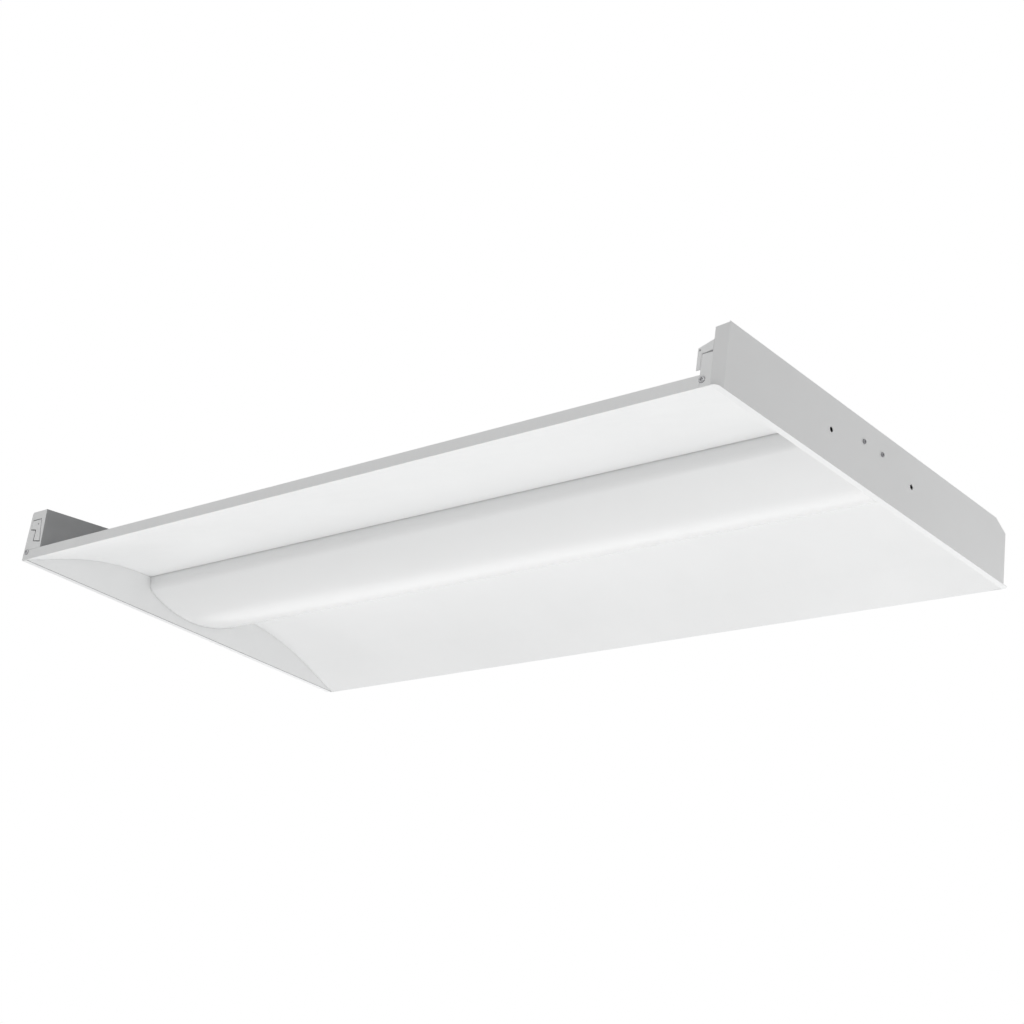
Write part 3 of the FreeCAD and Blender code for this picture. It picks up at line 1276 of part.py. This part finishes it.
def row_jumper():
    """Wire between the jumper connectors of the two rows."""
    z = BOARD_UNDER - CONNECTOR_BLOCK[2] / 2
    x = -BOARD_OUTER_X + JUMPER_INSET
    inner = ROW_Y - BOARD_WIDTH / 2
    reach = inner - SEAT
    return cylinder(JUMPER_RADIUS, V(x, -reach, z), V(0, 1, 0), 2 * reach)


def ground_wire():
    """Wire from the socket's nearest port to the barrel of the ground lug."""
    place = ground_screw_place()
    start = socket_ports()[0] - V(PORT_DEPTH - SEAT, 0, 0)
    end = V(place.x - LUG_LENGTH - SEAT, place.y, TRAY_TOP + SEAT + LUG_BARREL_RADIUS)
    third = (end.x - start.x) / 3
    points = [start, V(start.x + third, start.y, start.z), V(end.x - third, end.y, end.z), end]
    return tube(points, WIRE_RADIUS)


# ---------------------------------------------------------------- screws
def corner_screws():
    solids = []
    for side_x, side_y in ((1, -1), (1, 1), (-1, 1)):
        solids.append(screw(CORNER_SCREW, corner_screw_seat(side_x, side_y), V(0, side_y, 0)))
    solids.append(screw(CORNER_SCREW, box_screw_seat(), V(0, -1, 0)))
    return solids


def end_screws(side_x):
    places = plate_web_places(PLATE_SCREW_SPACING, PLATE_SCREW_Z)
    return [screw(PLATE_SCREW, V(side_x * p.x, p.y, p.z), V(side_x, 0, 0)) for p in places]


def upright_screws(size, places, direction):
    return [screw(size, place, V(0, 0, direction)) for place in places]


# ---------------------------------------------------------------- the whole light
def build():
    os.makedirs("parts", exist_ok=True)
    save("end_plate_right", end_plate(False))
    save("end_plate_left", mirrored_x(end_plate(True)))
    save("end_reflector_right", end_wall(1))
    save("end_reflector_left", end_wall(-1))
    save("wing_near", wing(-1))
    save("wing_far", wing(1))
    save("back_housing", back_housing())
    save("led_tray", led_tray())
    save_group("tray_brackets", tray_brackets())
    save("tray_grommet", grommet())

    for x_name, side_x in (("left", -1), ("right", 1)):
        for y_name, side_y in (("near", -1), ("far", 1)):
            place = x_name + "_" + y_name
            save("grid_clip_" + place, grid_clip(side_x, side_y))
            save("led_board_" + place, led_board(side_x, side_y))
            save_group("led_packages_" + place, led_packages(side_x, side_y))
        save("diffuser_end_cap_" + x_name, lens_end_cap(side_x))
        save("diffuser_catch_" + x_name, diffuser_catch(side_x))
        save_group("end_plate_screws_" + x_name, end_screws(side_x))

    save("diffuser_lens", lens_body())
    save_group("diffuser_hinge_pins", hinge_pins())
    save_group("catch_rivets", catch_rivets())
    save_group("board_connectors", board_connectors())

    save("access_cover", access_cover())
    save("knockout_slug", knockout_slug())
    head_seat = COVER_TOP + SEAT
    save("access_pivot_screw", screw(COVER_SCREW, V(PIVOT_X, PIVOT_Y, head_seat), V(0, 0, 1)))
    save("access_lock_screw", screw(COVER_SCREW, V(LOCK_X, LOCK_Y, head_seat), V(0, 0, 1)))

    save("driver_base", driver_base())
    save("driver_case", driver_case())
    save("driver_board", driver_board())
    save_group("driver_standoffs", driver_standoffs())
    save_group("driver_components", driver_components())
    save("driver_input_terminal", terminal_block(-1))
    save("driver_output_terminal", terminal_block(1))
    save_group("driver_screws", upright_screws(SMALL_SCREW, driver_screw_places(), 1))

    save("disconnect_socket", disconnect_socket())
    save("disconnect_plug", disconnect_plug())
    save("ground_lug", ground_lug())
    save("ground_screw", screw(BOARD_SCREW, ground_screw_place(), V(0, 0, 1)))

    for index, name in enumerate(("wire_neutral", "wire_line")):
        save(name, supply_wire(index))
    save("wire_ground", ground_wire())
    for index, name in enumerate(("led_lead_minus", "led_lead_plus")):
        save(name, led_lead(index))
    save("row_jumper", row_jumper())

    save_group("corner_screws", corner_screws())
    ledge_places = ledge_screw_places(-1) + ledge_screw_places(1)
    save_group("tray_screws", upright_screws(SMALL_SCREW, ledge_places, 1))
    save_group("board_screws", upright_screws(BOARD_SCREW, board_screw_places(), -1))
    housing_seats = standoff_places(HOUSING_TOP + SEAT)
    save_group("housing_screws", upright_screws(SMALL_SCREW, housing_seats, 1))
    save_group("housing_standoffs", housing_standoffs())


build()
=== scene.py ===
import json

import bpy
from mathutils import Matrix, Vector


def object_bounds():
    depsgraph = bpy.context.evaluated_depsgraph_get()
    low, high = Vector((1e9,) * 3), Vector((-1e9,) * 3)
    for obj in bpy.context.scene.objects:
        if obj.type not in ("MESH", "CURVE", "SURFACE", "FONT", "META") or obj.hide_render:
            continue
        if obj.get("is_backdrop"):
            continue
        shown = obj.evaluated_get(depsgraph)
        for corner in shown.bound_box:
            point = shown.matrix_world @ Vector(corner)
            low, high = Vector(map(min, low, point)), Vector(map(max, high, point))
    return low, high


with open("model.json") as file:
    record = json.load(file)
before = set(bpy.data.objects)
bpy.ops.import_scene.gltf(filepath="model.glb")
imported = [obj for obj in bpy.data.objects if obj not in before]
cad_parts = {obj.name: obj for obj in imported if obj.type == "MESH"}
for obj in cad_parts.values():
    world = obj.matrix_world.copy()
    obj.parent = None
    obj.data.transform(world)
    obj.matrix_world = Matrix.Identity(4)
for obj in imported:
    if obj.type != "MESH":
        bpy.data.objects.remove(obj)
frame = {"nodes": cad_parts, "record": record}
cad_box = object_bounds()
nodes = frame["nodes"]

# Sizes in metres, in the part's own frame: X along the light, Y from near to far, Z up.
STRIP_TOP = 0.0152          # top of the upturned side strips
STRIP_TOP_SOFTNESS = 0.0005
TONGUE_Y = 0.285            # the tongues behind the clips stand further out than this
TONGUE_SOFTNESS = 0.002
FLOOR_Z = -2.4
FLOOR_REACH = 30.0

# Plain light levels: the dome from all round, the glow of the floor, and four soft lamps.
DOME_LEVEL = 0.28
FLOOR_GLOW = 0.34
LAMPS = {
    "under": {
        "place": (0.8, 1.4, -2.35), "target": (0.8, 1.4, 0.0), "size": (4.4, 4.4), "power": 40.0,
    },
    "far_low": {
        "place": (-2.2, 3.4, -0.9), "target": (0.0, 0.0, 0.02), "size": (4.0, 1.6), "power": 14.0,
    },
    "near_side": {
        "place": (0.7, -3.4, 0.9), "target": (0.0, -0.3, 0.0), "size": (3.0, 1.6), "power": 18.0,
    },
    "right_end": {
        "place": (1.5, 1.5, 0.15), "target": (0.6, 0.3, 0.04), "size": (0.9, 0.6), "power": 4.0,
    },
}

# The camera stands below the light, near its right end, and looks up at it.
CAMERA_PLACE = (1.7293, -1.7023, -0.9107)
CAMERA_RIGHT = (0.7423, 0.6569, 0.1323)
CAMERA_UP = (0.1643, -0.3698, 0.9145)
CAMERA_BACK = (0.6497, -0.6571, -0.3824)
CAMERA_LENS_MM = 69.27
CAMERA_SENSOR_MM = 36.0
CAMERA_CLIP = (0.05, 100.0)

WHITE = (0.90, 0.905, 0.905)
# Grey for primer on hidden backs; the same grey is painted shade on the tongues behind the clips and
# on the inner walls of the boxed corners.
PRIMER_AND_SHADE_DARK = (0.36, 0.365, 0.37)
PRIMER_AND_SHADE_LIGHT = (0.42, 0.425, 0.43)
FLOOR_DARK = (0.86, 0.86, 0.86)
FLOOR_LIGHT = (0.88, 0.88, 0.88)
PURE_WHITE = (1.0, 1.0, 1.0, 1.0)


# ---------------------------------------------------------------- node helpers
class Nodes:
    """Small helper that adds nodes to a material and links them."""

    def __init__(self, material):
        self.tree = material.node_tree
        self.shader = self.tree.nodes["Principled BSDF"]
        source = self.add("ShaderNodeTexCoord")
        self.place = source.outputs["Object"]
        self.facing = source.outputs["Normal"]

    def add(self, kind, **settings):
        node = self.tree.nodes.new(kind)
        for key, value in settings.items():
            setattr(node, key, value)
        return node

    def link(self, output, node, socket):
        self.tree.links.new(output, node.inputs[socket])

    def split(self, vector):
        """The X, Y and Z outputs of a vector."""
        node = self.add("ShaderNodeSeparateXYZ")
        self.link(vector, node, "Vector")
        return node.outputs

    def maths(self, operation, *values):
        """One sum on one or two node outputs."""
        node = self.add("ShaderNodeMath", operation=operation)
        for index, value in enumerate(values):
            self.link(value, node, index)
        return node.outputs[0]

    def stretched(self, scale):
        """The object's own coordinates, scaled along each axis."""
        mapping = self.add("ShaderNodeMapping")
        mapping.inputs["Scale"].default_value = scale
        self.link(self.place, mapping, "Vector")
        return mapping.outputs["Vector"]

    def noise(self, scale, detail=3.0, vector=None):
        node = self.add("ShaderNodeTexNoise")
        node.inputs["Scale"].default_value = scale
        node.inputs["Detail"].default_value = detail
        self.link(vector or self.place, node, "Vector")
        return node.outputs["Fac"]

    def cells(self, scale, feature="F1", output="Color"):
        node = self.add("ShaderNodeTexVoronoi", feature=feature)
        node.inputs["Scale"].default_value = scale
        self.link(self.place, node, "Vector")
        return node.outputs[output]

    def spread(self, value, low, high, from_low=0.3, from_high=0.7):
        """Maps a value, such as a noise, smoothly to the range low to high."""
        node = self.add("ShaderNodeMapRange", interpolation_type="SMOOTHSTEP")
        node.inputs["From Min"].default_value = from_low
        node.inputs["From Max"].default_value = from_high
        node.inputs["To Min"].default_value = low
        node.inputs["To Max"].default_value = high
        self.link(value, node, "Value")
        return node.outputs["Result"]

    def mix(self, factor, first, second):
        """Mixes two colours, each a plain colour or a node's output."""
        node = self.add("ShaderNodeMix", data_type="RGBA", blend_type="MIX")
        self.link(factor, node, "Factor")
        a = [s for s in node.inputs if s.name == "A" and s.type == "RGBA"][0]
        b = [s for s in node.inputs if s.name == "B" and s.type == "RGBA"][0]
        for value, socket in ((first, a), (second, b)):
            if isinstance(value, tuple):
                socket.default_value = (*value, 1.0)
            else:
                self.tree.links.new(value, socket)
        return [s for s in node.outputs if s.type == "RGBA"][0]

    def bump(self, height, distance, strength=1.0, under=None):
        node = self.add("ShaderNodeBump")
        node.inputs["Strength"].default_value = strength
        node.inputs["Distance"].default_value = distance
        self.link(height, node, "Height")
        if under is not None:
            self.link(under, node, "Normal")
        return node.outputs["Normal"]

    def finish(self, colour, roughness, normal):
        self.link(colour, self.shader, "Base Color")
        self.link(roughness, self.shader, "Roughness")
        self.link(normal, self.shader, "Normal")


def new_material(name, metallic=0.0, **sockets):
    """A new material. Uniform numbers are set on the shader's own sockets."""
    material = bpy.data.materials.new(name)
    material.use_nodes = True
    shader = material.node_tree.nodes["Principled BSDF"]
    shader.inputs["Metallic"].default_value = metallic
    for key, value in sockets.items():
        shader.inputs[key.replace("_", " ")].default_value = value
    return material


def shade(colour, factor):
    return tuple(min(1.0, c * factor) for c in colour)


# ---------------------------------------------------------------- masks for primed backs and painted shade
def upward(n):
    """1 on faces of a wing that look up, which carry primer, and on the tongues that stand up behind
    the clips, where the grey is painted shade for the dark slots.
    """
    looks_up = n.spread(n.split(n.facing)["Z"], 0, 1, from_low=0.3, from_high=0.4)
    here = n.split(n.place)
    over_strip = n.spread(
        here["Z"], 0, 1, from_low=STRIP_TOP, from_high=STRIP_TOP + STRIP_TOP_SOFTNESS
    )
    far_out = n.spread(
        n.maths("ABSOLUTE", here["Y"]), 0, 1, from_low=TONGUE_Y, from_high=TONGUE_Y + TONGUE_SOFTNESS
    )
    # The tongues are greyed as painted shade, to darken the slots behind the clips.
    tongue_shade = n.maths("MULTIPLY", over_strip, far_out)
    return n.maths("MAXIMUM", looks_up, tongue_shade)


def towards_middle(n):
    """1 on faces that look towards the middle of the light: primer on the backs of an end plate, and
    painted shade on the inner wall of its boxed corner, which faces the middle.
    """
    outward = n.maths("MULTIPLY", n.split(n.place)["X"], n.split(n.facing)["X"])
    return n.spread(outward, 1, 0, from_low=-0.25, from_high=-0.2)


# ---------------------------------------------------------------- finishes
def enamel(name, colour, back=None):
    """Baked white paint on sheet steel: slight orange peel, faint cloudiness and scuffs.

    The mask, if given, picks the faces that turn grey: inner faces that carry only primer, and a few
    faces where the grey is painted shade.
    """
    material = new_material(name)
    n = Nodes(material)
    clouds = n.spread(n.noise(5.0, detail=4.0), 0, 1)
    tint = n.mix(clouds, shade(colour, 0.975), colour)
    specks = n.spread(n.noise(260.0, detail=2.0), 0, 0.16, from_low=0.68, from_high=0.8)
    tint = n.mix(specks, tint, shade(colour, 0.82))
    # Grey primer on hidden backs, and painted shade on the tongues and the boxed-corner walls.
    if back is not None:
        streaks = n.spread(n.noise(22.0, detail=4.0), 0, 1)
        tint = n.mix(back(n), tint, n.mix(streaks, PRIMER_AND_SHADE_DARK, PRIMER_AND_SHADE_LIGHT))
    rough = n.spread(n.noise(38.0, detail=4.0), 0.30, 0.46)
    peel = n.bump(n.noise(820.0, detail=2.0), distance=0.00004)
    wave = n.bump(n.noise(9.0, detail=1.0), distance=0.0006, strength=0.35, under=peel)
    n.finish(tint, rough, wave)
    return material


def galvanised(name, colour):
    """Zinc-coated sheet with its faint crystal spangle and rolling marks."""
    material = new_material(name, metallic=0.85)
    n = Nodes(material)
    spangle = n.add("ShaderNodeRGBToBW")
    n.link(n.cells(170.0), spangle, "Color")
    grey = spangle.outputs["Val"]
    crystals = n.spread(grey, 0, 1, from_low=0.2, from_high=0.8)
    tint = n.mix(crystals, shade(colour, 0.93), shade(colour, 1.02))
    clouds = n.spread(n.noise(7.0, detail=4.0), 0.0, 0.4)
    tint = n.mix(clouds, tint, shade(colour, 0.91))
    rough = n.spread(grey, 0.38, 0.46, from_low=0.0, from_high=1.0)
    rolling = n.noise(30.0, vector=n.stretched((1.0, 40.0, 40.0)))
    n.finish(tint, rough, n.bump(rolling, distance=0.00005))
    return material


def opal(name, colour):
    """Extruded opal acrylic: soft translucent white with a fine grain and faint clouding."""
    material = new_material(
        name,
        Subsurface_Weight=0.25,
        Subsurface_Scale=0.004,
        Subsurface_Radius=(1.0, 1.0, 1.0),
        IOR=1.49,
    )
    n = Nodes(material)
    clouds = n.spread(n.noise(3.5), 0, 1, from_low=0.2, from_high=0.8)
    tint = n.mix(clouds, shade(colour, 0.985), colour)
    drawn = n.noise(14.0, detail=2.0, vector=n.stretched((0.2, 1.0, 1.0)))
    rough = n.spread(drawn, 0.235, 0.27, from_low=0.2, from_high=0.8)
    grain = n.bump(n.noise(1500.0, detail=2.0), distance=0.000004)
    n.finish(tint, rough, grain)
    return material


def plated(name, colour, roughness=(0.22, 0.4)):
    """Plated or bare small steel: mottled, with fine turning marks."""
    material = new_material(name, metallic=1.0)
    n = Nodes(material)
    mottle = n.spread(n.noise(420.0, detail=4.0), 0, 1)
    tint = n.mix(mottle, shade(colour, 0.8), shade(colour, 1.1))
    rough = n.spread(n.noise(900.0), *roughness)
    marks = n.bump(n.noise(2600.0, detail=2.0), distance=0.00003)
    n.finish(tint, rough, marks)
    return material


def moulded(name, colour, roughness=(0.35, 0.55), grain=1400.0):
    """Moulded plastic with a fine spark texture and slight colour drift."""
    material = new_material(name)
    n = Nodes(material)
    drift = n.spread(n.noise(60.0), 0, 1)
    tint = n.mix(drift, shade(colour, 0.9), shade(colour, 1.05))
    rough = n.spread(n.noise(300.0), *roughness)
    spark = n.bump(n.noise(grain, detail=2.0), distance=0.00004)
    n.finish(tint, rough, spark)
    return material


def solder_mask(name, colour, track):
    """Circuit board: solder mask over faint tracks, with the weave of the laminate."""
    material = new_material(name)
    n = Nodes(material)
    edges = n.cells(150.0, feature="DISTANCE_TO_EDGE", output="Distance")
    tracks = n.spread(edges, 1, 0, from_low=0.02, from_high=0.06)
    tint = n.mix(tracks, colour, track)
    drift = n.spread(n.noise(30.0), 0, 0.25)
    tint = n.mix(drift, tint, shade(colour, 0.85))
    rough = n.spread(n.noise(400.0, detail=2.0), 0.28, 0.42)
    weave = n.noise(1200.0, detail=2.0, vector=n.stretched((1.0, 1.0, 0.1)))
    n.finish(tint, rough, n.bump(weave, distance=0.00003))
    return material


WIRE_SKIN = {"roughness": (0.3, 0.45), "grain": 2500.0}
FINISHES = {
    "white_paint": (enamel, {"colour": WHITE}),
    "galvanised_steel": (galvanised, {"colour": (0.66, 0.68, 0.69)}),
    "zinc_screw": (plated, {"colour": (0.42, 0.42, 0.43)}),
    "blackened_screw": (plated, {"colour": (0.26, 0.26, 0.27), "roughness": (0.28, 0.42)}),
    "spring_steel": (plated, {"colour": (0.36, 0.36, 0.38), "roughness": (0.18, 0.32)}),
    "opal_acrylic": (opal, {"colour": (0.87, 0.875, 0.875)}),
    "cap_plastic": (moulded, {"colour": (0.86, 0.86, 0.85)}),
    "black_rubber": (
        moulded, {"colour": (0.03, 0.03, 0.03), "roughness": (0.55, 0.75), "grain": 900.0},
    ),
    "board_white": (solder_mask, {"colour": (0.86, 0.86, 0.84), "track": (0.80, 0.80, 0.78)}),
    "led_phosphor": (
        moulded, {"colour": (0.88, 0.74, 0.22), "roughness": (0.15, 0.3), "grain": 3000.0},
    ),
    "connector_white": (moulded, {"colour": (0.84, 0.84, 0.8), "roughness": (0.3, 0.5)}),
    "circuit_board": (solder_mask, {"colour": (0.03, 0.2, 0.08), "track": (0.08, 0.32, 0.14)}),
    "component_black": (moulded, {"colour": (0.03, 0.03, 0.035), "roughness": (0.3, 0.5)}),
    "connector_orange": (moulded, {"colour": (0.78, 0.2, 0.02), "roughness": (0.25, 0.4)}),
    "brass_lug": (plated, {"colour": (0.72, 0.55, 0.28)}),
    "line_wire": (moulded, {"colour": (0.02, 0.02, 0.02), **WIRE_SKIN}),
    "neutral_wire": (moulded, {"colour": (0.82, 0.82, 0.8), **WIRE_SKIN}),
    "ground_wire": (moulded, {"colour": (0.03, 0.28, 0.07), **WIRE_SKIN}),
    "red_lead": (moulded, {"colour": (0.5, 0.03, 0.02), **WIRE_SKIN}),
    "blue_lead": (moulded, {"colour": (0.03, 0.09, 0.4), **WIRE_SKIN}),
}

# Painted sheets whose inner faces carry only primer, with the same grey as painted shade on the
# tongues and boxed-corner walls, and how those faces are told apart.
PRIMER_AND_SHADE_FACES = {
    "wing_near": upward,
    "wing_far": upward,
    "end_plate_left": towards_middle,
    "end_plate_right": towards_middle,
}

# The screws in the webs are darker than the other plated screws.
OTHER_FINISHES = {
    "end_plate_screws_left": "blackened_screw",
    "end_plate_screws_right": "blackened_screw",
}


def dress_nodes():
    """Gives each CAD node the material of its slot, with primed backs and grey painted shade on the
    painted sheets.
    """
    made = {}
    for row in frame["record"]["subparts"]:
        name = OTHER_FINISHES.get(row["node"], row["material_slot"])
        back = PRIMER_AND_SHADE_FACES.get(row["node"])
        key = name if back is None else name + "_" + back.__name__
        if key not in made:
            finish, settings = FINISHES[name]
            extra = {} if back is None else {"back": back}
            made[key] = finish(key, **settings, **extra)
        data = nodes[row["node"]].data
        data.materials.clear()
        data.materials.append(made[key])


# ---------------------------------------------------------------- floor, light, camera
def make_floor():
    mesh = bpy.data.meshes.new("floor")
    corners = [(-1, -1), (1, -1), (1, 1), (-1, 1)]
    points = [(x * FLOOR_REACH, y * FLOOR_REACH, FLOOR_Z) for x, y in corners]
    mesh.from_pydata(points, [], [(0, 1, 2, 3)])
    floor = bpy.data.objects.new("floor", mesh)
    bpy.context.scene.collection.objects.link(floor)
    material = new_material("floor_paper")
    n = Nodes(material)
    clouds = n.noise(0.7, detail=2.0)
    tint = n.mix(n.spread(clouds, 0, 1), FLOOR_DARK, FLOOR_LIGHT)
    rough = n.spread(clouds, 0.7, 0.8)
    n.finish(tint, rough, n.bump(n.noise(40.0, detail=2.0), distance=0.001))
    n.shader.inputs["Emission Color"].default_value = PURE_WHITE
    n.shader.inputs["Emission Strength"].default_value = FLOOR_GLOW
    mesh.materials.append(material)
    floor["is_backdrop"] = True


def make_world():
    """White to the eye and in reflections; a dimmer soft dome for the light that falls."""
    world = bpy.data.worlds.new("studio")
    bpy.context.scene.world = world
    world.use_nodes = True
    tree = world.node_tree
    background = tree.nodes["Background"]
    path = tree.nodes.new("ShaderNodeLightPath")
    clear = path.outputs["Is Camera Ray"]
    for kind in ("Is Glossy Ray", "Is Transmission Ray"):
        either = tree.nodes.new("ShaderNodeMath")
        either.operation = "MAXIMUM"
        tree.links.new(clear, either.inputs[0])
        tree.links.new(path.outputs[kind], either.inputs[1])
        clear = either.outputs[0]
    level = tree.nodes.new("ShaderNodeMapRange")
    level.inputs["To Min"].default_value = DOME_LEVEL
    level.inputs["To Max"].default_value = 1.0
    tree.links.new(clear, level.inputs["Value"])
    background.inputs["Color"].default_value = PURE_WHITE
    tree.links.new(level.outputs["Result"], background.inputs["Strength"])


def area_light(name, place, target, size, power):
    light = bpy.data.lights.new(name, "AREA")
    light.shape = "RECTANGLE"
    light.size, light.size_y = size
    light.energy = power
    lamp = bpy.data.objects.new(name, light)
    bpy.context.scene.collection.objects.link(lamp)
    lamp.location = place
    way = Vector(target) - Vector(place)
    lamp.rotation_euler = way.to_track_quat("-Z", "Y").to_euler()
    lamp.visible_camera = False


def make_camera():
    data = bpy.data.cameras.new("camera")
    data.sensor_width = CAMERA_SENSOR_MM
    data.lens = CAMERA_LENS_MM
    data.clip_start, data.clip_end = CAMERA_CLIP
    camera = bpy.data.objects.new("camera", data)
    bpy.context.scene.collection.objects.link(camera)
    turn = Matrix((CAMERA_RIGHT, CAMERA_UP, CAMERA_BACK)).transposed()
    camera.matrix_world = Matrix.Translation(CAMERA_PLACE) @ turn.to_4x4()
    bpy.context.scene.camera = camera


dress_nodes()
make_floor()
make_world()
for lamp_name, lamp in LAMPS.items():
    area_light(lamp_name, **lamp)
make_camera()
bpy.context.scene.view_settings.view_transform = "Standard"

boxes = {"cad": cad_box, "visual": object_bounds()}
{name: [list(corner) for corner in pair] for name, pair in boxes.items()}
